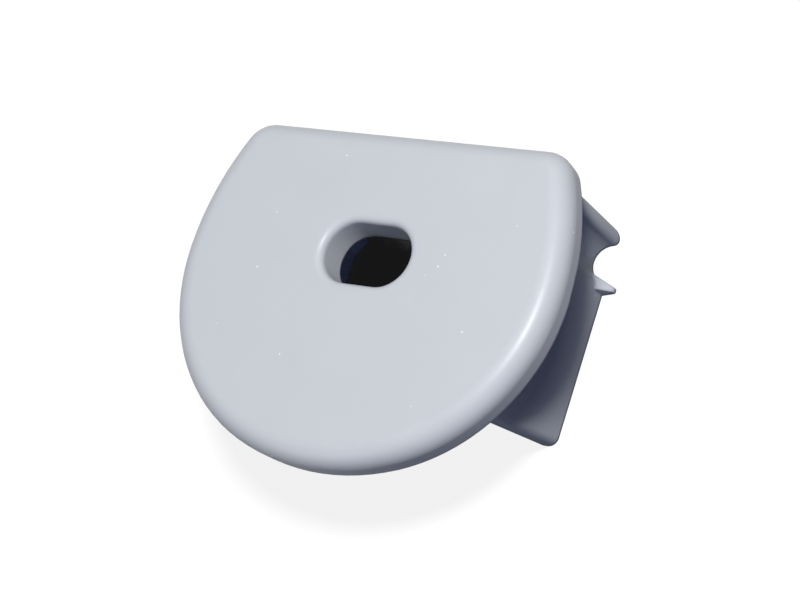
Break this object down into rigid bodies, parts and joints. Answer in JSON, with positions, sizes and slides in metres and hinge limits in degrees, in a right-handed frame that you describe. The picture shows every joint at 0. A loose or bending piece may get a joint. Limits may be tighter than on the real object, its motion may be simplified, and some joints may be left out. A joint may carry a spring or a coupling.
{
  "type": "profile end cap",
  "caption": "D-shaped moulded end cap with a cable slot and grooved snap wings, for closing the end of a hollow lighting profile.",
  "frame": {"origin": "under the middle of the face, at the level of the wings' far ends", "axes": "+Z out of the front face, +Y towards the flat edge, X across the face"},
  "size_m": [0.02, 0.016, 0.0084],
  "materials": {
    "moulded_plastic": "satin, with the fine grain of a mould"
  },
  "bodies": {
    "root": {"profile_end_cap": "moulded_plastic"}
  },
  "joints": []
}
